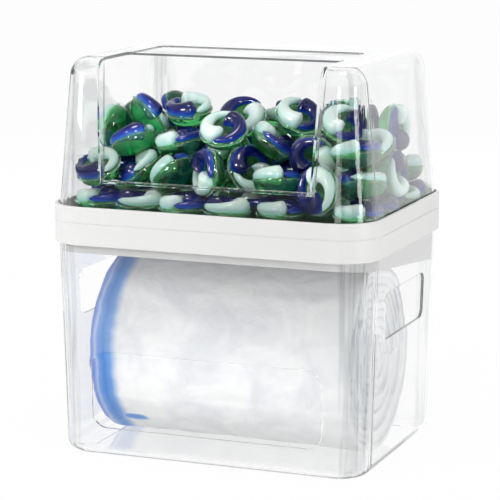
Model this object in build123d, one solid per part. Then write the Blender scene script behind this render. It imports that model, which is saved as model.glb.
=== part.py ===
from build123d import *
import math
import os

import numpy as np

# Trash bag and pod dispenser, in millimetres.
# X is the width, Y the depth with the front at -Y, Z is up. The origin is the middle of the base.

# White divider tray: collar, pod floor and plug
collar_width = 292.0
collar_depth = 222.0
collar_corner = 36.0
collar_bottom = 183.0
collar_height = 33.0
collar_wall = 2.4
collar_edge_round = 1.2
floor_rise = 19.0
floor_wall = 2.6
parting_groove_width = 0.8
parting_groove_depth = 0.35
plug_wall = 2.0
plug_front_drop = 6.3
plug_back_drop = 30.0

# Clearances between the pieces
shell_gap = 0.4
plug_gap = 0.5
pod_wall_gap = 1.0
roll_end_gap = 16.0
roll_side_gap = 18.5
roll_head_gap = 33.0
heap_head_gap = 38.0

# Clear lower bin
bin_wall = 2.6
bin_floor = 3.0
bin_draft = 1.65
bin_base_round = 9.0
base_recess_depth = 0.8
base_recess_margin = 24.0
slot_width = 208.0
slot_height = 67.0
slot_corner = 14.0
slot_bottom = 25.0
handle_length = 106.0
handle_height = 40.0
handle_corner = 8.0
handle_drop = 33.0

# Clear dome with its hand window
dome_height = 138.0
dome_wall = 2.6
dome_draft = 5.35
dome_top_round = 17.0
window_rise = 36.0
window_bottom_width = 186.0
window_flare = 3.0
window_reach = 61.0
window_corner = 5.0
lip_wall = 2.2
lip_bottom_depth = 8.0
lip_top_depth = 13.0
landing_width = 190.0
landing_length = 64.0
landing_depth = 0.8
landing_corner = 8.0

# Roll of trash bags lying on the bin's floor
roll_eye = 16.0
roll_eye_depth = 4.0
roll_flat = 40.0
roll_edge_round = 5.0
roll_turns = 7
roll_turn_step = 1.2

# Heap of sealed pods: a pillow whose top is parted into two comma chambers by an S-shaped groove
pod_diameter = 42.0
pod_thickness = 25.0
pod_sides = 8
pod_levels = (-0.96, -0.6, 0.0, 0.6, 0.96)
pod_press = 0.4
pod_layers = 4
groove_reach = 24.0
groove_arc = 120.0
groove_steps = 3
groove_floor = 2.0
groove_floor_width = 2.0
groove_top_width = 8.0
heap_packing = 0.56
heap_crest = 15.0

# Settling of the heap: lengths are parts of a pod's diameter
pod_seed = 7
start_jitter = 0.05
start_flatness = 2.0
sink_steps = 240
rest_steps = 140
sink_pull = 0.035
gather_pull = 0.01
push_passes = 3
push_gain = 0.8
tiny = 1e-6

# Heights and sections worked out from the values above
floor_top = collar_bottom + floor_rise
bin_rim = floor_top - floor_wall
dome_top = floor_top + dome_height
bin_lean = math.tan(math.radians(bin_draft))
dome_lean = math.tan(math.radians(dome_draft))
shell_inset = collar_wall + shell_gap
window_bottom = floor_top + window_rise
floor_inset = shell_inset + bin_wall + bin_lean * (bin_rim - bin_floor)
roll_length = collar_width - 2 * (floor_inset + roll_end_gap)
roll_diameter = min(collar_depth - 2 * (floor_inset + roll_side_gap), bin_rim - bin_floor - roll_head_gap)
past = collar_width


def section(inset, z):
    """Plan of the collar's outline moved in by inset, as a face at height z."""
    outline = RectangleRounded(collar_width - 2 * inset, collar_depth - 2 * inset, collar_corner - inset)
    return Pos(0, 0, z) * outline


def prism(inset, z, height):
    """Straight-walled rounded block standing on height z."""
    return extrude(section(inset, z), amount=height)


def frustum(inset, z, height, draft):
    """Rounded block that narrows by draft degrees on every side; a negative height goes down."""
    direction = (0, 0, math.copysign(1, height))
    return extrude(section(inset, z), amount=abs(height), dir=direction, taper=draft)


def front_face(z):
    """Y of the dome's outer front face at height z."""
    return -collar_depth / 2 + shell_inset + dome_lean * (z - floor_top)


def side_profile(points):
    """Block across the whole width with the given outline in Y and Z."""
    return extrude(Plane.YZ * Polygon(*points, align=None), amount=past, both=True)


def make_bin():
    """Lower bin: drafted box, open at the top, with bag slot and hand holes."""
    outer = frustum(shell_inset, bin_rim, -bin_rim, bin_draft)
    outer = fillet(outer.edges().group_by(Axis.Z)[0], bin_base_round)
    inner = frustum(shell_inset + bin_wall, bin_rim, -(bin_rim - bin_floor), bin_draft)
    inner = fillet(inner.edges().group_by(Axis.Z)[0], bin_base_round - bin_wall)
    slot = Pos(0, slot_bottom + slot_height / 2) * RectangleRounded(slot_width, slot_height, slot_corner)
    slot_cut = extrude(Plane.XZ * slot, amount=past)
    handle_middle = collar_bottom - handle_drop - handle_height / 2
    handle = Pos(0, handle_middle) * RectangleRounded(handle_length, handle_height, handle_corner)
    handle_cut = extrude(Plane.YZ * handle, amount=past, both=True)
    recess = prism(shell_inset + bin_lean * bin_rim + base_recess_margin, 0, base_recess_depth)
    return outer - inner - slot_cut - handle_cut - recess


def make_tray():
    """Divider tray: collar, pod floor, and a plug whose lower edge drops towards the back."""
    collar = prism(0, collar_bottom, collar_height)
    rims = collar.edges().group_by(Axis.Z)
    collar = fillet(rims[0] + rims[-1], collar_edge_round)
    well = prism(collar_wall, floor_top, collar_height)
    socket = prism(collar_wall, bin_rim - past, past)
    groove = prism(-parting_groove_depth, floor_top, parting_groove_width)
    groove = groove - prism(parting_groove_depth, floor_top, parting_groove_width)
    plug_inset = shell_inset + bin_wall + plug_gap
    plug_depth = bin_rim - collar_bottom + plug_back_drop
    plug = frustum(plug_inset, bin_rim, -plug_depth, bin_draft)
    plug = plug - frustum(plug_inset + plug_wall, bin_rim, -plug_depth, bin_draft)
    slope = (plug_back_drop - plug_front_drop) / collar_depth
    front_edge = collar_bottom - plug_front_drop + slope * collar_depth / 2
    back_edge = collar_bottom - plug_back_drop - slope * collar_depth / 2
    cut_line = [(-collar_depth, front_edge), (collar_depth, back_edge)]
    below = side_profile(cut_line + [(collar_depth, -past), (-collar_depth, -past)])
    return collar - well - socket - groove + (plug - below)


def window_block(grow):
    """Flared block of the hand window, grown by grow below and at its sides."""
    flare = math.tan(math.radians(window_flare))
    low = window_bottom - grow
    high = dome_top + dome_wall
    low_half = window_bottom_width / 2 + grow - flare * grow
    high_half = window_bottom_width / 2 + grow + flare * (high - window_bottom)
    face = Polygon((-low_half, low), (low_half, low), (high_half, high), (-high_half, high), align=None)
    block = extrude(Plane.XZ * face, amount=past)
    back = front_face(dome_top) + window_reach
    block = Pos(0, back, 0) * block
    back_edges = block.faces().sort_by(Axis.Y)[-1].edges().filter_by(Axis.X, reverse=True)
    return fillet(back_edges, window_corner + grow)


def make_dome():
    """Upper cover: tapered rounded shell with a lipped hand window that runs over its top edge."""
    outer = frustum(shell_inset, floor_top, dome_height, dome_draft)
    outer = fillet(outer.edges().group_by(Axis.Z)[-1], dome_top_round)
    inner = frustum(shell_inset + dome_wall, floor_top, dome_height - dome_wall, dome_draft)
    inner = fillet(inner.edges().group_by(Axis.Z)[-1], dome_top_round - dome_wall)
    lip_low = front_face(window_bottom) + lip_bottom_depth
    lip_high = front_face(dome_top) + lip_top_depth
    lip_slope = (lip_high - lip_low) / (dome_top - window_bottom)
    foot = (lip_low - lip_slope * window_rise, floor_top)
    head = (lip_high + lip_slope * window_rise, dome_top + window_rise)
    lip_zone = side_profile([foot, head, (-past, head[1]), (-past, foot[1])])
    lip = (outer & lip_zone & window_block(lip_wall)) - window_block(0)
    landing_back = front_face(dome_top) + window_reach + landing_length
    landing = RectangleRounded(landing_width, 2 * landing_length, landing_corner)
    landing = Pos(0, landing_back - landing_length, dome_top - landing_depth) * landing
    landing_cut = extrude(landing, amount=past)
    shell = outer - inner - landing_cut - window_block(0)
    return shell + lip


def make_roll():
    """Wound roll along X: stepped turns and a sunk eye on both ends, and a flat spot where it lies."""
    radius = roll_diameter / 2
    eye = roll_eye / 2
    turn = (radius - eye) / roll_turns
    end = [(roll_length / 2 - roll_eye_depth, 0), (roll_length / 2 - roll_eye_depth, eye)]
    for index in range(roll_turns):
        reach = roll_length / 2 - (roll_turn_step if index % 2 else 0)
        end.append((reach, eye + index * turn))
        end.append((reach, eye + (index + 1) * turn))
    outline = end + [(-x, r) for x, r in reversed(end)]
    roll = revolve(Plane.XZ * Polygon(*outline, align=None), Axis.X)
    rims = roll.edges().filter_by(GeomType.CIRCLE).sort_by(lambda edge: edge.radius)[-2:]
    roll = fillet(rims, roll_edge_round)
    drop = math.sqrt(radius ** 2 - (roll_flat / 2) ** 2)
    below = Pos(0, 0, -drop) * Box(past, past, past, align=(Align.CENTER, Align.CENTER, Align.MAX))
    return Pos(0, 0, bin_floor + drop) * (roll - below)


def skin(loops):
    """Closed faceted solid through loops of points, with a flat face on each end."""
    faces = [Face(Wire.make_polygon(loops[0])), Face(Wire.make_polygon(loops[-1]))]
    count = len(loops[0])
    for lower, upper in zip(loops, loops[1:]):
        for k in range(count):
            n = (k + 1) % count
            faces.append(Face(Wire.make_polygon([lower[k], lower[n], upper[n], upper[k]])))
    return Solid(Shell(faces))


def groove_loop(width, z):
    """Outline at height z of the groove that runs in two arcs from rim to rim through the pod's middle."""
    half_arc = math.radians(groove_arc / 2)
    bend = groove_reach / 2 / math.sin(half_arc)
    turns = [half_arc * (2 * k / groove_steps - 1) for k in range(groove_steps + 1)]
    sides = []
    for radius in (bend + width / 2, bend - width / 2):
        sag = bend * math.cos(half_arc)
        sides.append([(groove_reach / 2 + radius * math.sin(a), radius * math.cos(a) - sag) for a in turns])
    outer, inner = sides
    half = outer + inner[:0:-1]
    return [Vector(way * x, way * y, z) for way in (1, -1) for x, y in half]


def pod_solid():
    """Sealed pod: a faceted pillow with an S-shaped groove between its two comma chambers."""
    ball = pod_thickness / 2
    ring = pod_diameter / 2 - ball
    angles = [2 * math.pi * k / pod_sides for k in range(pod_sides)]
    loops = []
    for part in pod_levels:
        radius = ring + ball * math.sqrt(1 - part ** 2)
        loops.append([Vector(radius * math.cos(a), radius * math.sin(a), part * ball) for a in angles])
    groove = skin([groove_loop(groove_floor_width, groove_floor), groove_loop(groove_top_width, ball)])
    return (skin(loops) - groove).solid()


def rigid_fit(points, shape):
    """Turn and place the pod shape so that it fits each pod's own moved points best."""
    middle = points.mean(axis=1, keepdims=True)
    spread = np.einsum("pki,kj->pij", points - middle, shape)
    spread = spread + tiny * np.eye(3)
    left, _, right = np.linalg.svd(spread)
    flip = np.ones((len(points), 3))
    flip[:, 2] = np.sign(np.linalg.det(left @ right))
    turn = (left * flip[:, None, :]) @ right
    return middle + np.einsum("pij,kj->pki", turn, shape), turn


def heap_count():
    """Number of pods that fill the dome up to the gap over the heap."""
    inset = shell_inset + dome_wall
    room = (collar_width - 2 * inset) * (collar_depth - 2 * inset) * (dome_height - heap_head_gap)
    pod_room = math.pi * (pod_diameter / 2) ** 2 * pod_thickness
    return int(heap_packing * room / pod_room)


def settle_pods():
    """Let the pods sink into the dome, each as a ring of balls that pushes its neighbours away."""
    rng = np.random.default_rng(pod_seed)
    pod_count = heap_count()
    ball = pod_thickness / 2
    ring = pod_diameter / 2 - ball
    angles = 2 * np.pi * np.arange(pod_sides) / pod_sides
    rim = np.stack([ring * np.cos(angles), ring * np.sin(angles), 0 * angles], axis=1)
    shape = np.vstack([rim, np.zeros((1, 3))])
    wall_inset = shell_inset + dome_wall + pod_wall_gap + ball
    half = np.array([collar_width / 2 - wall_inset, collar_depth / 2 - wall_inset])
    corner = max(0.0, collar_corner - wall_inset)
    sill = window_bottom - lip_wall - pod_wall_gap - ball
    behind_lip = front_face(dome_top) + lip_top_depth + pod_wall_gap + ball
    columns, rows = ((2 * half + pod_thickness) // pod_diameter).astype(int)
    spots = []
    for index in range(pod_count):
        layer, place = divmod(index, columns * rows)
        row, column = divmod(place, columns)
        x = half[0] * (2 * (column + 0.5) / columns - 1)
        y = half[1] * (2 * (row + 0.5) / rows - 1)
        spots.append((x, y, floor_top + pod_diameter * (layer + 0.5)))
    start = np.array(spots) + rng.normal(0, start_jitter * pod_diameter, (pod_count, 3))
    mostly_flat = np.diag([0, 0, start_flatness])
    turn, _ = np.linalg.qr(rng.normal(0, 1, (pod_count, 3, 3)) + mostly_flat)
    points = start[:, None, :] + np.einsum("pij,kj->pki", turn, shape)
    first, second = np.triu_indices(pod_count, 1)
    apart = pod_thickness - pod_press
    for step in range(sink_steps + rest_steps):
        pull = sink_pull * pod_diameter * max(0.0, 1 - step / sink_steps)
        points[:, :, 2] -= pull
        points[:, :, 1] -= gather_pull * pull * (points[:, :, 1] - heap_crest)
        for _ in range(push_passes):
            middle = points.mean(axis=1)
            near = np.linalg.norm(middle[first] - middle[second], axis=1) < pod_diameter
            a, b = first[near], second[near]
            gap = points[a][:, :, None, :] - points[b][:, None, :, :]
            far = np.linalg.norm(gap, axis=3, keepdims=True)
            push = push_gain * gap * np.clip(apart / np.maximum(far, tiny) - 1, 0, 1)
            np.add.at(points, a, push.sum(axis=2))
            np.add.at(points, b, -push.sum(axis=1))
            lean = dome_lean * np.clip(points[:, :, 2:] - floor_top, 0, None)
            round_now = np.clip(corner - lean, 0, None)
            out = np.clip(np.abs(points[:, :, :2]) - (half - lean - round_now), 0, None)
            past_wall = np.linalg.norm(out, axis=2, keepdims=True)
            share = np.clip(past_wall - round_now, 0, None) / np.maximum(past_wall, tiny)
            points[:, :, :2] -= np.sign(points[:, :, :2]) * out * share
            front = np.where(points[:, :, 2] > sill, behind_lip, -past)
            points[:, :, 1] = np.maximum(points[:, :, 1], front)
            points[:, :, 2] = np.maximum(points[:, :, 2], floor_top + ball)
            points, turn = rigid_fit(points, shape)
    return points.mean(axis=1), turn


def make_pods():
    """Pods in layers from the floor up, each with its commas turned away from the heap's heart."""
    middles, turns = settle_pods()
    solid = pod_solid()
    heart = np.array([0, heap_crest, floor_top - pod_diameter])
    order = np.argsort(middles[:, 2])
    layers = []
    for group in np.array_split(order, pod_layers):
        pods = []
        for index in group:
            x_axis, _, z_axis = turns[index].T
            z_axis = z_axis * math.copysign(1, (middles[index] - heart) @ z_axis)
            plane = Plane(origin=tuple(middles[index]), x_dir=tuple(x_axis), z_dir=tuple(z_axis))
            pods.append(solid.moved(plane.location))
        layers.append(Compound(pods))
    return layers


nodes = {
    "bag_bin": make_bin(),
    "divider_tray": make_tray(),
    "pod_dome": make_dome(),
    "trash_bag_roll": make_roll(),
}
for number, layer in enumerate(make_pods(), start=1):
    nodes[f"pods_layer_{number}"] = layer

os.makedirs("parts", exist_ok=True)
for name, shape in nodes.items():
    export_step(shape, f"parts/{name}.step")
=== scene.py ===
import math

import bmesh
import bpy
import numpy as np
from mathutils import Matrix, Vector, noise


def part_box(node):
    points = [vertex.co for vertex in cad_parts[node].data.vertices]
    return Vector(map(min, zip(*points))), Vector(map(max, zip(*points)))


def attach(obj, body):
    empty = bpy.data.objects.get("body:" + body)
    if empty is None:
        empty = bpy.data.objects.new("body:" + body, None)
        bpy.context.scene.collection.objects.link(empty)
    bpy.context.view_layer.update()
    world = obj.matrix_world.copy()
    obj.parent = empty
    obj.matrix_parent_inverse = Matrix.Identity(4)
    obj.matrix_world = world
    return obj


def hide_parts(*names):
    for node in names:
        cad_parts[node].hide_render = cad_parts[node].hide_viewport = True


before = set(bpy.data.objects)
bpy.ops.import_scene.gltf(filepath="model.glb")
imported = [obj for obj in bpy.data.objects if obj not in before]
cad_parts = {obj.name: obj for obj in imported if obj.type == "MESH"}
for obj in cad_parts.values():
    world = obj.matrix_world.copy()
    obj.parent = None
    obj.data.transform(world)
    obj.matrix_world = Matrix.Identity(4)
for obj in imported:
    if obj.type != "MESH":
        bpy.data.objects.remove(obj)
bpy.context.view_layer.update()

# Trash bag and pod dispenser: a clear bin with a roll of bags, a white tray, and a clear dome full of pods.
# Metres, +Z up, the front at -Y. MM turns a size in millimetres into metres.
MM = 0.001

# Camera, fitted to the photograph's frame
photo_width = 500
focal_pixels = 2243.6
sensor_width = 36.0
camera_place = Vector((0.7073, -1.7807, 0.5239))
camera_aim = Vector((0.0, 0.0, 0.168))

# Pod: a round green chamber below, two comma chambers above that curl round each other, and a film rim
pod_seed = 21
pod_radius = 21.0 * MM
pod_foot_depth = 12.0 * MM
base_radius = 19.6 * MM
base_crown = 4.5 * MM
base_dimple = 3.0 * MM
dimple_radius = 7.0 * MM
swirl_reach = 24.0 * MM
swirl_half_arc = math.radians(60)
swirl_gap = 1.2 * MM
swirl_hole = 2.6 * MM
comma_radius = 19.9 * MM
comma_thin = 2.2 * MM
comma_fat = 7.9 * MM
comma_low_top = 4.5 * MM
comma_high_top = 12.0 * MM
rim_width = 3.0 * MM
rim_thickness = 0.2 * MM
rim_wave = 0.7 * MM

# Roll of bags: points round it, along it and across each end, then the film's turns, creases and hem
roll_around = 220
roll_along = 96
roll_across = 64
turn_pitch = 7.5 * MM
turn_stagger = 5.0 * MM
turn_step = 1.6 * MM
turn_blend = 0.18
turn_shade = 0.35
eye_depth = 4.0 * MM
eye_radius = 9.0 * MM
free_edge_step = 1.1 * MM
free_edge_angle = math.radians(205)
free_edge_sway = 0.05
free_edge_waves = 22
roll_shoulder = 7.0 * MM
shoulder_drop = 0.55
end_shrink = 0.045
end_slack = 0.5 * MM
end_blend = 5.0 * MM
rim_scallop = 2.5 * MM
scallop_waves = 5
crease_swell = 1.3 * MM
crease_fold = 1.6 * MM
crease_slack = 1.2 * MM
crease_start = 20.0 * MM
crease_waves_along = 14
crease_waves_around = 1.6
fold_waves = 2.7
foot_gap = 0.1 * MM
hem_width = 27.0 * MM
hem_sway = 3.0 * MM
hem_ripple = 1.6 * MM
hem_blend = 6.0 * MM
tie_middle = Vector((-85.0, 24.0)) * MM
tie_size = Vector((14.0, 4.0)) * MM

# Studio: the points that the lamps look at, the light from all sides, and the floor
dispenser_middle = Vector((0.0, 0.0, 0.17))
bin_middle = Vector((0.0, 0.0, 0.12))
heap_middle = Vector((0.0, 0.0, 0.25))
even_light = 0.72
floor_reach = 12.0
floor_drop = 0.2 * MM
floor_glow = 0.95


def linear(hex_colour):
    """Linear colour of an sRGB hex value."""
    channels = [int(hex_colour[k:k + 2], 16) / 255 for k in (1, 3, 5)]
    bent = [c / 12.92 if c <= 0.04045 else ((c + 0.055) / 1.055) ** 2.4 for c in channels]
    return (*bent, 1.0)


def add(tree, kind, inputs=None, **settings):
    """Add a node, set its settings, and fill its inputs with values or links."""
    node = tree.nodes.new(kind)
    for name, value in settings.items():
        setattr(node, name, value)
    for name, value in (inputs or {}).items():
        if isinstance(value, bpy.types.NodeSocket):
            tree.links.new(value, node.inputs[name])
        else:
            node.inputs[name].default_value = value
    return node


def new_material(name, **inputs):
    """A material with one main shader on its output, whose sockets are filled from the inputs."""
    material = bpy.data.materials.new(name)
    material.use_nodes = True
    tree = material.node_tree
    tree.nodes.clear()
    surface = add(tree, "ShaderNodeBsdfPrincipled")
    for socket, value in inputs.items():
        surface.inputs[socket.replace("_", " ").title().replace("Ior", "IOR")].default_value = value
    output = add(tree, "ShaderNodeOutputMaterial", {"Surface": surface.outputs["BSDF"]})
    return material, tree, surface, output


def colour_ramp(tree, factor, stops):
    """Colour that runs through the stops, each a position and a hex colour, as the factor rises."""
    ramp = add(tree, "ShaderNodeValToRGB", {"Fac": factor})
    while len(ramp.color_ramp.elements) < len(stops):
        ramp.color_ramp.elements.new(0.5)
    for element, (position, colour) in zip(ramp.color_ramp.elements, stops):
        element.position = position
        element.color = linear(colour)
    return ramp.outputs["Color"]


def clear_styrene():
    # Clear styrene resin from a polished mould: bright glassy walls, greyer where light runs inside them,
    # with a painted glow where rays are caught in them, with the slow waves that cooling leaves in a flat
    # wall and upright flow lines in the corners, tinted grey as painted shade.
    material, tree, surface, output = new_material(
        "clear_styrene_polished_mould",
        base_color=(1, 1, 1, 1), roughness=0.0, ior=1.5, transmission_weight=1.0)
    place = add(tree, "ShaderNodeTexCoord").outputs["Object"]
    wave_size = 60 * MM
    wave_depth = 0.6 * MM
    waves = add(tree, "ShaderNodeTexNoise", {"Vector": place, "Scale": 1 / wave_size, "Detail": 1.0})
    bump = add(tree, "ShaderNodeBump", {
        "Height": waves.outputs["Fac"], "Strength": 0.25, "Distance": wave_depth})
    flow_size = 7 * MM
    flow_depth = 0.9 * MM
    flow_squeeze = (1, 1, 0.04)
    drawn_out = add(tree, "ShaderNodeMapping", {"Vector": place, "Scale": flow_squeeze})
    flow = add(tree, "ShaderNodeTexNoise", {
        "Vector": drawn_out.outputs[0], "Scale": 1 / flow_size, "Detail": 2.0})
    corner_start = 40 * MM
    corner_full = 22 * MM
    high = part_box("pod_dome")[1]
    xyz = add(tree, "ShaderNodeSeparateXYZ", {"Vector": place})
    near = []
    for axis, edge in (("X", high.x), ("Y", high.y)):
        off_middle = add(tree, "ShaderNodeMath", {0: xyz.outputs[axis]}, operation="ABSOLUTE")
        closeness = add(tree, "ShaderNodeMapRange", {
            "Value": off_middle.outputs[0], "From Min": edge - corner_start, "From Max": edge - corner_full})
        near.append(closeness.outputs[0])
    corner = add(tree, "ShaderNodeMath", {0: near[0], 1: near[1]}, operation="MULTIPLY")
    depth = add(tree, "ShaderNodeMath", {0: flow.outputs["Fac"], 1: corner.outputs[0]}, operation="MULTIPLY")
    lines = add(tree, "ShaderNodeBump", {
        "Height": depth.outputs[0], "Normal": bump.outputs["Normal"], "Strength": 0.5,
        "Distance": flow_depth})
    tree.links.new(lines.outputs["Normal"], surface.inputs["Normal"])
    # Painted shade: the corner flow lines tint the wall grey, standing in for the streaks that the rounded
    # corners mirror
    painted_streak_shade = colour_ramp(tree, depth.outputs[0], [(0.4, "#FFFFFF"), (0.56, "#DBDDDE"), (0.66, "#FFFFFF")])
    tree.links.new(painted_streak_shade, surface.inputs["Base Color"])
    # Painted glow: where a ray has been mirrored three times or more inside a wall, the wall gives off a
    # little light of its own, so a cut edge is a grey line and not black
    caught_mirrorings = 3.0
    painted_glow_strength = 0.3
    path = add(tree, "ShaderNodeLightPath")
    caught = add(tree, "ShaderNodeMath", {
        0: path.outputs["Glossy Depth"], 1: caught_mirrorings, 2: 0.5}, operation="COMPARE")
    painted_glow = add(tree, "ShaderNodeMath", {0: caught.outputs[0], 1: painted_glow_strength}, operation="MULTIPLY")
    surface.inputs["Emission Color"].default_value = (1, 1, 1, 1)
    tree.links.new(painted_glow.outputs[0], surface.inputs["Emission Strength"])
    grey = add(tree, "ShaderNodeVolumeAbsorption", {"Color": linear("#B9C2C4"), "Density": 10.0})
    tree.links.new(grey.outputs["Volume"], output.inputs["Volume"])
    return material


def white_styrene():
    # White styrene from a finely blasted mould: even, warm-neutral white with a soft satin sheen.
    material, tree, surface, _ = new_material(
        "white_styrene_satin_mould", base_color=linear("#D8D8D7"), roughness=0.42, ior=1.55)
    place = add(tree, "ShaderNodeTexCoord").outputs["Object"]
    # The real grit is finer than the picture can show, so it is drawn as coarse as it needs to be
    grit_size = 0.9 * MM
    grit_depth = 0.05 * MM
    grit = add(tree, "ShaderNodeTexNoise", {"Vector": place, "Scale": 1 / grit_size, "Detail": 2.0})
    bump = add(tree, "ShaderNodeBump", {
        "Height": grit.outputs["Fac"], "Strength": 0.12, "Distance": grit_depth})
    tree.links.new(bump.outputs["Normal"], surface.inputs["Normal"])
    cloud_size = 45 * MM
    cloud = add(tree, "ShaderNodeTexNoise", {"Vector": place, "Scale": 1 / cloud_size, "Detail": 3.0})
    sheen = add(tree, "ShaderNodeMapRange", {"Value": cloud.outputs["Fac"], "To Min": 0.36, "To Max": 0.48})
    tree.links.new(sheen.outputs["Result"], surface.inputs["Roughness"])
    return material


def pod_liquid(name, stops, **inputs):
    """Glossy film over a coloured liquid, its colour painted with light and shade from the chamber's edge to
    its crown, toned pod by pod.
    """
    material, tree, surface, _ = new_material(name, **inputs)
    rise = add(tree, "ShaderNodeAttribute", attribute_name="rise")
    # Painted light and shade: the colour follows the height on each chamber, from its edge to its crown
    ramp = colour_ramp(tree, rise.outputs["Fac"], stops)
    tone = add(tree, "ShaderNodeAttribute", attribute_name="pod_tone")
    value = add(tree, "ShaderNodeMapRange", {"Value": tone.outputs["Fac"], "To Min": 0.8, "To Max": 1.2})
    shade = add(tree, "ShaderNodeHueSaturation", {"Color": ramp, "Value": value.outputs["Result"]})
    tree.links.new(shade.outputs["Color"], surface.inputs["Base Color"])
    place = add(tree, "ShaderNodeTexCoord").outputs["Object"]
    pucker_size = 6 * MM
    pucker_depth = 0.5 * MM
    pucker = add(tree, "ShaderNodeTexNoise", {"Vector": place, "Scale": 1 / pucker_size, "Detail": 2.0})
    bump = add(tree, "ShaderNodeBump", {
        "Height": pucker.outputs["Fac"], "Strength": 0.25, "Distance": pucker_depth})
    tree.links.new(bump.outputs["Normal"], surface.inputs["Normal"])
    return material


def green_liquid():
    # Green liquid under clear film: lets light through, with painted shade that makes it deep green at the
    # foot and painted light that makes it bright towards the rim.
    stops = [(0.0, "#3AA35A"), (0.6, "#4DBB6C"), (1.0, "#86D88A")]
    return pod_liquid("green_liquid_under_film", stops, roughness=0.02, ior=1.4, transmission_weight=0.93)


def blue_gel():
    # Dark blue gel under clear film: navy on the crown, painted royal and sky blue towards the thin edge as
    # light shining through it.
    stops = [(0.0, "#2F8CE6"), (0.35, "#1A41BA"), (0.6, "#0F1870"), (1.0, "#090C44")]
    return pod_liquid("blue_gel_under_film", stops, roughness=0.05, ior=1.42, transmission_weight=0.3)


def pearl_gel():
    # Pearly white gel under clear film: milky and faintly mint, painted a darker mint towards the edge as
    # shade, with a soft gloss.
    stops = [(0.0, "#8FD0C6"), (0.45, "#C2E2DA"), (1.0, "#E0F0EA")]
    return pod_liquid(
        "pearl_gel_under_film", stops,
        roughness=0.14, ior=1.42, subsurface_weight=0.3, subsurface_scale=3 * MM)


def pod_film():
    # Cast soluble film, heat sealed: a thin clear rim that shows only by its gloss.
    material, tree, surface, _ = new_material(
        "soluble_film_heat_sealed",
        base_color=linear("#EAF5F2"), roughness=0.08, ior=1.45, transmission_weight=0.9)
    place = add(tree, "ShaderNodeTexCoord").outputs["Object"]
    crinkle_size = 2.5 * MM
    crinkle_depth = 0.4 * MM
    crinkle = add(tree, "ShaderNodeTexNoise", {"Vector": place, "Scale": 1 / crinkle_size, "Detail": 3.0})
    bump = add(tree, "ShaderNodeBump", {
        "Height": crinkle.outputs["Fac"], "Strength": 0.6, "Distance": crinkle_depth})
    tree.links.new(bump.outputs["Normal"], surface.inputs["Normal"])
    return material


def bag_film():
    # Blown low-density polyethylene, wound loosely: milky, soft-sheened, with a blue drawstring in the hem
    # and painted shadow at the steps between the turns on its ends.
    material, tree, surface, _ = new_material(
        "blown_polyethylene_film", roughness=0.38, ior=1.51, subsurface_weight=0.25, subsurface_scale=4 * MM)
    surface.inputs["Subsurface Radius"].default_value = (1.0, 1.0, 1.0)
    place = add(tree, "ShaderNodeTexCoord").outputs["Object"]
    crease_size = 26 * MM
    crease_depth = 2.5 * MM
    crease = add(tree, "ShaderNodeTexNoise", {
        "Vector": place, "Scale": 1 / crease_size, "Detail": 5.0, "Roughness": 0.6, "Distortion": 0.8})
    bump = add(tree, "ShaderNodeBump", {
        "Height": crease.outputs["Fac"], "Strength": 0.6, "Distance": crease_depth})
    tree.links.new(bump.outputs["Normal"], surface.inputs["Normal"])
    hem = add(tree, "ShaderNodeAttribute", attribute_name="hem")
    stops = [(0.0, "#7E9BEA"), (0.16, "#88A8EE"), (0.25, "#C4D2F7"), (0.34, "#7FAEEC"), (0.52, "#5B95E4"),
             (0.74, "#7DAEEB"), (0.88, "#CADCF5"), (1.0, "#FAFBFB")]
    dyed = colour_ramp(tree, hem.outputs["Fac"], stops)
    cloud_size = 40 * MM
    cloud = add(tree, "ShaderNodeTexNoise", {
        "Vector": place, "Scale": 1 / cloud_size, "Detail": 4.0, "Roughness": 0.6, "Distortion": 0.7})
    veil = colour_ramp(tree, cloud.outputs["Fac"], [(0.36, "#EDEEF2"), (0.62, "#FFFFFF")])
    # Painted shadow: the film is darker just inside each step between the turns on the roll's ends
    painted_turn_shadow = add(tree, "ShaderNodeAttribute", attribute_name="painted_turn_shadow")
    turns = colour_ramp(tree, painted_turn_shadow.outputs["Fac"], [(0.0, "#FFFFFF"), (1.0, "#CDD1D7")])
    clouded = add(tree, "ShaderNodeVectorMath", {0: dyed, 1: veil}, operation="MULTIPLY")
    turn_shadowed_colour = add(tree, "ShaderNodeVectorMath", {0: clouded.outputs[0], 1: turns}, operation="MULTIPLY")
    tree.links.new(turn_shadowed_colour.outputs[0], surface.inputs["Base Color"])
    return material


def outward(mesh):
    """Turn the faces of a closed mesh to point outwards."""
    shell = bmesh.new()
    shell.from_mesh(mesh)
    bmesh.ops.recalc_face_normals(shell, faces=shell.faces)
    shell.to_mesh(mesh)
    shell.free()


def grid_mesh(name, points):
    """Closed mesh from a grid of points: rows run from pole to pole, columns go round."""
    rows, columns = points.shape[:2]
    vertices = [tuple(points[0].mean(axis=0))]
    vertices += [tuple(p) for p in points.reshape(-1, 3)]
    vertices.append(tuple(points[-1].mean(axis=0)))
    last = len(vertices) - 1
    faces = []
    for c in range(columns):
        n = (c + 1) % columns
        faces.append((0, 1 + n, 1 + c))
        for r in range(rows - 1):
            a, b = 1 + r * columns, 1 + (r + 1) * columns
            faces.append((a + c, a + n, b + n, b + c))
        top = 1 + (rows - 1) * columns
        faces.append((last, top + c, top + n))
    mesh = bpy.data.meshes.new(name)
    mesh.from_pydata(vertices, [], faces)
    outward(mesh)
    mesh.shade_smooth()
    return mesh


def with_rise(mesh, low, high):
    """Give every point of the mesh its height between low and high, from 0 to 1."""
    heights = np.array([v.co.z for v in mesh.vertices])
    rise = mesh.attributes.new("rise", "FLOAT", "POINT")
    rise.data.foreach_set("value", np.clip((heights - low) / (high - low), 0, 1).astype(np.float32))
    return mesh


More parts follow.
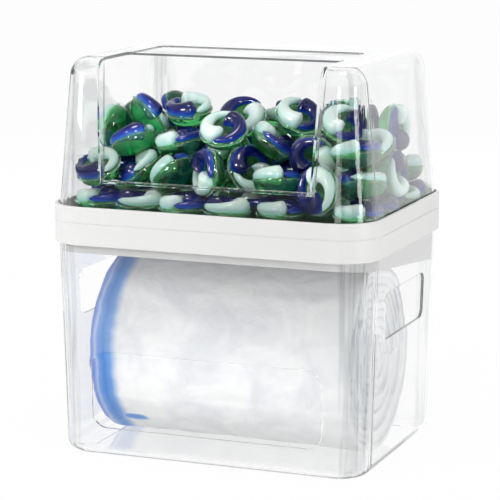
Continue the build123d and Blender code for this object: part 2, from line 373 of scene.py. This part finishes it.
def base_chamber():
    """Green chamber: a round pillow with a dimple on top, where the commas part."""
    rows, columns = 17, 28
    angle = np.linspace(0, 2 * np.pi, columns, endpoint=False)
    points = np.zeros((rows, columns, 3))
    for r in range(rows):
        sweep = math.pi * (r + 0.6) / (rows + 0.2) - math.pi / 2
        reach = base_radius * abs(math.cos(sweep)) ** 0.62
        height = math.sin(sweep) * (pod_foot_depth if sweep < 0 else base_crown)
        if sweep > 0:
            height -= base_dimple * math.exp(-(reach / dimple_radius) ** 2)
        puckered = reach * (1 + 0.02 * np.cos(5 * angle) * math.cos(sweep))
        points[r, :, 0] = puckered * np.cos(angle)
        points[r, :, 1] = puckered * np.sin(angle)
        points[r, :, 2] = height
    return with_rise(grid_mesh("pod_base_shape", points), -pod_foot_depth, 0)


def swirl_radius(angle):
    """Distance from a pod's middle to the S-shaped parting of its commas, in one direction."""
    return swirl_reach / math.sin(swirl_half_arc) * math.sin(swirl_half_arc - angle)


def swirl_angle(radius):
    """Direction in which the S-shaped parting lies at one distance from a pod's middle."""
    return swirl_half_arc - math.asin(radius * math.sin(swirl_half_arc) / swirl_reach)


def comma_chamber(start):
    """Comma chamber: from a thin tail at the rim it swells round the middle to a fat rounded head."""
    rows, columns = 34, 14
    around = np.linspace(0, 2 * np.pi, columns, endpoint=False)
    points = np.zeros((rows, columns, 3))
    tail = swirl_angle(comma_radius - 2 * swirl_gap)
    head = math.pi + swirl_angle(swirl_hole + 1.5 * swirl_gap)
    for r in range(rows):
        share = (1 - math.cos(math.pi * (r + 0.5) / rows)) / 2
        angle = tail + (head - tail) * share
        outer = comma_radius
        inner = swirl_hole
        if angle < swirl_half_arc:
            inner = max(inner, swirl_radius(angle) + swirl_gap)
        if angle > math.pi:
            outer = min(outer, swirl_radius(angle - math.pi) - swirl_gap)
        taper = comma_thin + (comma_fat - comma_thin) * min(1.0, (angle - tail) / (math.pi - tail))
        half = min(taper, (outer - inner) / 2)
        top = comma_low_top + (comma_high_top - comma_low_top) * half / comma_fat
        out = outer - half + half * np.cos(around)
        up = top - half + half * np.sin(around)
        points[r] = np.stack([out * math.cos(start + angle), out * math.sin(start + angle), up], 1)
    return with_rise(grid_mesh("pod_comma_shape", points), 0, comma_high_top)


def rim_film():
    """Wavy flat rim of film round the pod's middle."""
    columns = 36
    angle = np.linspace(0, 2 * np.pi, columns, endpoint=False)
    wave = rim_wave * (np.sin(7 * angle + 0.6) + 0.5 * np.sin(11 * angle))
    loops = []
    for reach, height, lift in ((-rim_width, 1, 0), (0, 1, 1), (0, -1, 1), (-rim_width, -1, 0)):
        radius = pod_radius + reach
        z = wave * lift + height * rim_thickness / 2
        loops.append(np.stack([radius * np.cos(angle), radius * np.sin(angle), z], 1))
    vertices = [tuple(p) for loop in loops for p in loop]
    faces = []
    for k in range(len(loops)):
        a, b = k * columns, (k + 1) % len(loops) * columns
        faces += [(a + c, b + c, b + (c + 1) % columns, a + (c + 1) % columns) for c in range(columns)]
    mesh = bpy.data.meshes.new("pod_rim_shape")
    mesh.from_pydata(vertices, [], faces)
    outward(mesh)
    return mesh


def pod_frames():
    """Place and turn of every pod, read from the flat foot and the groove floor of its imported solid."""
    places = []
    for name in pod_layers():
        heap = bmesh.new()
        heap.from_mesh(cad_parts[name].data)
        bmesh.ops.remove_doubles(heap, verts=heap.verts, dist=0.01 * MM)
        bmesh.ops.dissolve_limit(heap, angle_limit=math.radians(0.5), verts=heap.verts, edges=heap.edges)
        left = set(heap.faces)
        while left:
            island = [left.pop()]
            for face in island:
                near = {f for e in face.edges for f in e.link_faces} & left
                island.extend(near)
                left -= near
            foot = max(island, key=lambda f: f.calc_area())
            axis = -foot.normal
            middle = foot.calc_center_median() + axis * pod_foot_depth
            upward = [f for f in island if f.normal.dot(axis) > 0.99]
            floor = min(upward, key=lambda f: f.calc_center_median().dot(axis))
            across = axis.orthogonal().normalized()
            along = axis.cross(across)
            offsets = [v.co - middle for v in floor.verts]
            flat = [(offset.dot(across), offset.dot(along)) for offset in offsets]
            spots = sorted((math.hypot(x, y), x, y) for x, y in flat)
            ends = [(reach, math.atan2(y, x)) for reach, x, y in spots[-4:]]
            double = math.atan2(sum(math.sin(2 * a) for _, a in ends), sum(math.cos(2 * a) for _, a in ends))
            spin = double / 2 - swirl_angle(sum(reach for reach, _ in ends) / len(ends))
            x_axis = across * math.cos(spin) + along * math.sin(spin)
            places.append((middle, x_axis, axis))
        heap.free()
    return sorted(places, key=lambda place: tuple(round(c, 5) for c in place[0]))


def pod_layers():
    """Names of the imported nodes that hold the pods."""
    return sorted(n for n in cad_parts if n.startswith("pods_layer_"))


def pod_points():
    """One point for each pod, with its turn and its tone as attributes."""
    rng = np.random.default_rng(pod_seed)
    places = pod_frames()
    turns = []
    for middle, x_axis, axis in places:
        x_axis = x_axis * rng.choice((-1, 1))
        turns.append(Matrix((x_axis, axis.cross(x_axis), axis)).transposed().to_quaternion())
    mesh = bpy.data.meshes.new("pod_points")
    mesh.from_pydata([tuple(place[0]) for place in places], [], [])
    turn = mesh.attributes.new("pod_turn", "QUATERNION", "POINT")
    turn.data.foreach_set("value", np.array([tuple(q) for q in turns], np.float32).ravel())
    tone = mesh.attributes.new("pod_tone", "FLOAT", "POINT")
    tone.data.foreach_set("value", rng.uniform(0, 1, len(turns)).astype(np.float32))
    return mesh


def scatter_tree():
    """Node tree that sets one chamber shape on every pod's point, turned as the pod is."""
    tree = bpy.data.node_groups.new("chamber_on_every_pod", "GeometryNodeTree")
    tree.interface.new_socket("Pods", in_out="INPUT", socket_type="NodeSocketGeometry")
    tree.interface.new_socket("Chamber", in_out="INPUT", socket_type="NodeSocketObject")
    tree.interface.new_socket("Finish", in_out="INPUT", socket_type="NodeSocketMaterial")
    tree.interface.new_socket("Geometry", in_out="OUTPUT", socket_type="NodeSocketGeometry")
    given = add(tree, "NodeGroupInput")
    chamber = add(tree, "GeometryNodeObjectInfo", {"Object": given.outputs["Chamber"]})
    turn = add(tree, "GeometryNodeInputNamedAttribute", {"Name": "pod_turn"}, data_type="QUATERNION")
    placed = add(tree, "GeometryNodeInstanceOnPoints", {
        "Points": given.outputs["Pods"],
        "Instance": chamber.outputs["Geometry"],
        "Rotation": turn.outputs["Attribute"]})
    real = add(tree, "GeometryNodeRealizeInstances", {"Geometry": placed.outputs["Instances"]})
    finish = add(tree, "GeometryNodeSetMaterial", {
        "Geometry": real.outputs["Geometry"], "Material": given.outputs["Finish"]})
    add(tree, "NodeGroupOutput", {"Geometry": finish.outputs["Geometry"]})
    return tree


def link(name, mesh):
    """New object with the mesh, in the scene."""
    piece = bpy.data.objects.new(name, mesh)
    bpy.context.scene.collection.objects.link(piece)
    return piece


def scattered(name, points, shape, material, tree):
    """Plain mesh piece with the shape on every pod's point."""
    pattern = link(name + "_pattern", shape)
    carrier = link(name + "_points", points)
    modifier = carrier.modifiers.new("chambers", "NODES")
    modifier.node_group = tree
    sockets = {s.name: s.identifier for s in tree.interface.items_tree if s.in_out == "INPUT"}
    modifier[sockets["Chamber"]] = pattern
    modifier[sockets["Finish"]] = material
    ready = carrier.evaluated_get(bpy.context.evaluated_depsgraph_get())
    mesh = bpy.data.meshes.new_from_object(ready)
    mesh.name = name
    carrier.modifiers.remove(modifier)
    bpy.data.objects.remove(carrier)
    bpy.data.objects.remove(pattern)
    return link(name, mesh)


def make_pods(glossy_pieces):
    """Chambers and rims of all the pods, riding on the tray. They join the pieces that mirror gloss lamps."""
    points = pod_points()
    tree = scatter_tree()
    parts = [
        ("pod_green_chambers", base_chamber(), green_liquid()),
        ("pod_blue_chambers", comma_chamber(0.0), blue_gel()),
        ("pod_white_chambers", comma_chamber(math.pi), pearl_gel()),
        ("pod_film_rims", rim_film(), pod_film()),
    ]
    for name, shape, material in parts:
        piece = scattered(name, points, shape, material, tree)
        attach(piece, "tray")
        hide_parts(*pod_layers())
        # The clear rims cast no shadow, so that they don't darken the chambers
        piece.visible_shadow = name != "pod_film_rims"
        glossy_pieces.objects.link(piece)


def turn_offset(turn_number, angle, side):
    """How far a turn of film stands back from the roll's end, each turn and each end with its own waves."""
    spot = Vector((turn_number * 3.7, math.cos(angle) * 0.8, math.sin(angle) * 0.8 + 5.0 * side))
    return turn_stagger * (0.5 + 0.5 * noise.noise(spot)) + turn_step * (turn_number % 2)


def turn_count(radius, full, angle):
    """How many turns of film lie outside one spot of the roll's end."""
    return (full - radius) / turn_pitch + angle / (2 * math.pi)


def end_depth(radius, full, angle, side):
    """Depth of the roll's end below its face at one radius, with a soft step from turn to turn."""
    count = turn_count(radius, full, angle)
    whole = math.floor(count)
    blend = min(1.0, (count - whole) / turn_blend)
    here = turn_offset(whole, angle, side)
    before = turn_offset(whole - 1, angle, side)
    eye = eye_depth * math.exp(-(radius / eye_radius) ** 2)
    return before + (here - before) * blend * blend * (3 - 2 * blend) + eye


def scallop(ring, side):
    """How far the film's wavy edge stands back from one end of the roll, each end with its own waves."""
    return rim_scallop * (0.5 + 0.5 * noise.noise(ring * scallop_waves + Vector((0, 0, 7 * side))))


def body_spot(share, ring, full, half):
    """Place along the roll, and radius, of a spot on its long side, which is rounded off at both ends."""
    edge = scallop(ring, math.copysign(1, share))
    along = share * (half - end_slack - edge * share ** 10)
    near = max(0.0, abs(along) - (half - roll_shoulder)) / roll_shoulder
    radius = full - roll_shoulder * shoulder_drop * (1 - math.sqrt(max(0.0, 1 - near ** 2)))
    return along, radius


def end_spot(reach, angle, ring, side, full, half):
    """Place along the roll, and radius, of a spot on one of its ends, where the turns stand in steps."""
    edge = scallop(ring, side) * (reach / full) ** 10
    depth = end_depth(reach, full, angle, side) * min(1.0, (full - reach) / end_blend)
    along = side * (half - end_slack - max(depth, edge))
    radius = reach * (1 - end_shrink * (reach / full) ** 6)
    return along, radius


def film_depth(along, angle, radius):
    """How deep the film lies at one spot: its creases, its slack, and the step at its free edge."""
    across = math.cos(angle) * crease_waves_around
    up = math.sin(angle) * crease_waves_around
    spot = Vector((along * crease_waves_along, across, up))
    crease = noise.noise(spot) * crease_swell + abs(noise.noise(spot * fold_waves)) * crease_fold
    edge = free_edge_angle + free_edge_sway * noise.noise(Vector((along * free_edge_waves, 3.0, 1.0)))
    wound = ((angle - edge) % (2 * math.pi)) / (2 * math.pi)
    return min(1.0, radius / crease_start) * (crease + crease_slack + free_edge_step * wound)


def hem_share(along, z, ring, half):
    """Where a spot lies from the hem's edge, 0, to the plain film, 1. The tie shows on the front's foot."""
    from_end = half + along
    ripple = hem_ripple * noise.noise(ring * 9.0 + Vector((0, 0, along * 60)))
    wobble = hem_sway * noise.noise(ring * 2.2) + ripple
    share = (from_end + wobble * min(1.0, from_end / hem_blend)) / hem_width
    off_tie = math.hypot((along - tie_middle.x) / tie_size.x, (z - tie_middle.y) / tie_size.y)
    if off_tie < 1 and ring.x < 0:
        share = min(share, 0.5 + 0.5 * off_tie ** 2)
    return min(1.0, max(0.0, share))


def make_roll():
    """Wound roll of bags: creased film, stepped turns on its ends, a free edge along its front."""
    low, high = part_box("trash_bag_roll")
    full = (high.y - low.y) / 2
    half = (high.x - low.x) / 2
    axle = high.z - full
    angles = np.linspace(0, 2 * math.pi, roll_around, endpoint=False)
    steps = []
    for k in range(roll_across):
        steps.append((-1, full * (k + 0.5) / roll_across))
    for k in range(roll_along + 1):
        steps.append((0, -1 + 2 * k / roll_along))
    for k in reversed(range(roll_across)):
        steps.append((1, full * (k + 0.5) / roll_across))
    points = np.zeros((len(steps), roll_around, 3))
    hem = np.zeros((len(steps), roll_around))
    painted_turn_shadow = np.zeros((len(steps), roll_around))
    for row, (side, value) in enumerate(steps):
        for column, angle in enumerate(angles):
            ring = Vector((math.cos(angle), math.sin(angle), 0.0))
            if side == 0:
                along, radius = body_spot(value, ring, full, half)
            else:
                along, radius = end_spot(value, angle, ring, side, full, half)
                # Painted shadow: darkest at the step of the turn outside, fading inwards
                painted_turn_shadow[row, column] = max(0.0, 1 - turn_count(value, full, angle) % 1 / turn_shade)
            radius -= film_depth(along, angle, radius)
            z = max(axle + radius * math.sin(angle), low.z + foot_gap)
            points[row, column] = (along, radius * math.cos(angle), z)
            hem[row, column] = hem_share(along, z, ring, half)
    mesh = grid_mesh("trash_bag_film", points)
    for name, grid in (("hem", hem), ("painted_turn_shadow", painted_turn_shadow)):
        values = np.concatenate([[grid[0].mean()], grid.ravel(), [grid[-1].mean()]])
        attribute = mesh.attributes.new(name, "FLOAT", "POINT")
        attribute.data.foreach_set("value", values.astype(np.float32))
    mesh.materials.append(bag_film())
    piece = link("trash_bag_film", mesh)
    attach(piece, "bin")
    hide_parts("trash_bag_roll")


def dress_shells():
    """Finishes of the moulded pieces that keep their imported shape. Clear pieces let the light in."""
    clear = clear_styrene()
    for name, material in (("bag_bin", clear), ("pod_dome", clear), ("divider_tray", white_styrene())):
        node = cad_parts[name]
        node.data.materials.clear()
        node.data.materials.append(material)
        node.visible_shadow = material != clear


def make_camera():
    """Camera at the photograph's place and angle."""
    camera = bpy.data.objects.new("camera", bpy.data.cameras.new("camera"))
    bpy.context.scene.collection.objects.link(camera)
    camera.data.sensor_width = sensor_width
    camera.data.lens = focal_pixels / photo_width * sensor_width
    camera.data.clip_end = 50
    camera.location = camera_place
    camera.rotation_mode = "QUATERNION"
    camera.rotation_quaternion = (camera_aim - camera_place).to_track_quat("-Z", "Y")
    bpy.context.scene.camera = camera


def softbox(name, place, aim, size, watts, mirrored_in=None):
    """Square area lamp that looks at a point, or one that is only mirrored in some glossy pieces."""
    lamp = bpy.data.lights.new(name, "AREA")
    lamp.size = size
    lamp.energy = watts
    holder = bpy.data.objects.new(name, lamp)
    holder.location = place
    holder.visible_diffuse = mirrored_in is None
    holder.light_linking.receiver_collection = mirrored_in
    holder.visible_transmission = False
    holder.rotation_mode = "QUATERNION"
    holder.rotation_quaternion = (aim - Vector(place)).to_track_quat("-Z", "Y")
    bpy.context.scene.collection.objects.link(holder)


def seen_directly(tree):
    """1 where the eye meets a thing straight, in a mirror or through glass, and 0 for light on surfaces."""
    path = add(tree, "ShaderNodeLightPath")
    first = add(tree, "ShaderNodeMath", {
        0: path.outputs["Is Camera Ray"], 1: path.outputs["Is Glossy Ray"]}, operation="MAXIMUM")
    direct = add(tree, "ShaderNodeMath", {
        0: first.outputs[0], 1: path.outputs["Is Transmission Ray"]}, operation="MAXIMUM")
    return direct.outputs[0], path


def make_world():
    """White studio. Mirror and see-through rays also meet its dark side cards and the dim room in front."""
    world = bpy.data.worlds.new("white_studio")
    bpy.context.scene.world = world
    world.use_nodes = True
    tree = world.node_tree
    tree.nodes.clear()
    direct, path = seen_directly(tree)
    # The limits below are parts of a ray's direction, from -1 to 1
    way = add(tree, "ShaderNodeTexCoord").outputs["Generated"]
    xyz = add(tree, "ShaderNodeSeparateXYZ", {"Vector": way})
    # Dark cards stand to the left and right: the clear walls' rims bend the view round to them and turn grey
    sides = add(tree, "ShaderNodeMath", {0: xyz.outputs["X"]}, operation="ABSOLUTE")
    flag = add(tree, "ShaderNodeMapRange", {
        "Value": sides.outputs[0], "From Min": 0.66, "From Max": 0.72, "To Min": 0.0, "To Max": 1.0})
    # Straight above the studio is a little dimmer
    height = add(tree, "ShaderNodeMapRange", {
        "Value": xyz.outputs["Z"], "From Min": 0.6, "From Max": 0.9, "To Min": 0.0, "To Max": 0.15})
    # The room behind the camera is dim, so that the clear front walls don't veil what stands behind them
    room = add(tree, "ShaderNodeMapRange", {
        "Value": xyz.outputs["Y"], "From Min": -0.3, "From Max": -0.6, "To Min": 0.0, "To Max": 0.9})
    # Cards and room end a little above the horizon, so that a level sheet mirrors only white
    below = add(tree, "ShaderNodeMapRange", {
        "Value": xyz.outputs["Z"], "From Min": 0.15, "From Max": 0.25, "To Min": 1.0, "To Max": 0.0})
    around = add(tree, "ShaderNodeMath", {0: flag.outputs[0], 1: room.outputs[0]}, operation="MAXIMUM")
    standing = add(tree, "ShaderNodeMath", {0: around.outputs[0], 1: below.outputs[0]}, operation="MULTIPLY")
    dark = add(tree, "ShaderNodeMath", {0: standing.outputs[0], 1: height.outputs[0]}, operation="MAXIMUM")
    not_camera = add(tree, "ShaderNodeMath", {0: 1.0, 1: path.outputs["Is Camera Ray"]}, operation="SUBTRACT")
    shade = add(tree, "ShaderNodeMath", {0: dark.outputs[0], 1: not_camera.outputs[0]}, operation="MULTIPLY")
    wall = add(tree, "ShaderNodeMapRange", {"Value": shade.outputs[0], "To Min": 1.0, "To Max": 0.06})
    # Light that has left a dull surface is already counted by the lamps and the even light below
    fresh = add(tree, "ShaderNodeMath", {0: path.outputs["Diffuse Depth"], 1: 1.0}, operation="LESS_THAN")
    level = add(tree, "ShaderNodeMath", {0: wall.outputs[0], 1: fresh.outputs[0]}, operation="MULTIPLY")
    seen = add(tree, "ShaderNodeBackground", {"Color": (1, 1, 1, 1), "Strength": level.outputs[0]})
    light = add(tree, "ShaderNodeBackground", {"Color": (1, 1, 1, 1), "Strength": even_light})
    both = add(tree, "ShaderNodeMixShader", {0: direct, 1: light.outputs[0], 2: seen.outputs[0]})
    add(tree, "ShaderNodeOutputWorld", {"Surface": both.outputs[0]})


def make_floor():
    """Pale floor that looks white by its glow, and by the rest of its light keeps the object's shadow."""
    material = bpy.data.materials.new("white_sweep")
    material.use_nodes = True
    tree = material.node_tree
    tree.nodes.clear()
    direct, _ = seen_directly(tree)
    share = add(tree, "ShaderNodeMath", {0: direct, 1: floor_glow}, operation="MULTIPLY")
    paint = add(tree, "ShaderNodeBsdfDiffuse", {"Color": linear("#FAFAFA")})
    glow = add(tree, "ShaderNodeEmission", {"Color": (1, 1, 1, 1), "Strength": 1.0})
    both = add(tree, "ShaderNodeMixShader", {0: share.outputs[0], 1: paint.outputs[0], 2: glow.outputs[0]})
    add(tree, "ShaderNodeOutputMaterial", {"Surface": both.outputs[0]})
    mesh = bpy.data.meshes.new("floor")
    corners = [(x * floor_reach, y * floor_reach, 0) for x, y in ((-1, -1), (1, -1), (1, 1), (-1, 1))]
    mesh.from_pydata(corners, [], [(0, 1, 2, 3)])
    mesh.materials.append(material)
    floor = link("floor", mesh)
    floor.location.z = -floor_drop


glossy_pieces = bpy.data.collections.new("glossy_pieces")
make_camera()
make_world()
make_floor()
softbox("key_left", (-0.55, -0.55, 0.42), dispenser_middle, 0.25, 1.7)
softbox("top", (0.2, -0.2, 1.7), dispenser_middle, 0.4, 4)
softbox("front_low", (0.3, -1.8, 0.3), bin_middle, 0.5, 3.5)
softbox("fill_right", (1.5, -0.4, 0.35), bin_middle, 0.4, 5)
softbox("back", (-0.5, 1.7, 0.8), dispenser_middle, 0.5, 4)
softbox("gloss_front", (-0.35, -1.5, 0.8), heap_middle, 0.45, 36, glossy_pieces)
softbox("gloss_right", (1.1, -1.2, 0.6), heap_middle, 0.35, 16, glossy_pieces)
softbox("gloss_top", (0.1, -0.4, 1.6), heap_middle, 0.5, 12, glossy_pieces)
dress_shells()
make_roll()
make_pods(glossy_pieces)

bpy.context.scene.view_settings.view_transform = "Standard"
# Light goes through many clear walls one behind the other before it reaches the eye
wall_bounces = 24
bpy.context.scene.cycles.max_bounces = wall_bounces
bpy.context.scene.cycles.glossy_bounces = wall_bounces
bpy.context.scene.cycles.transmission_bounces = wall_bounces
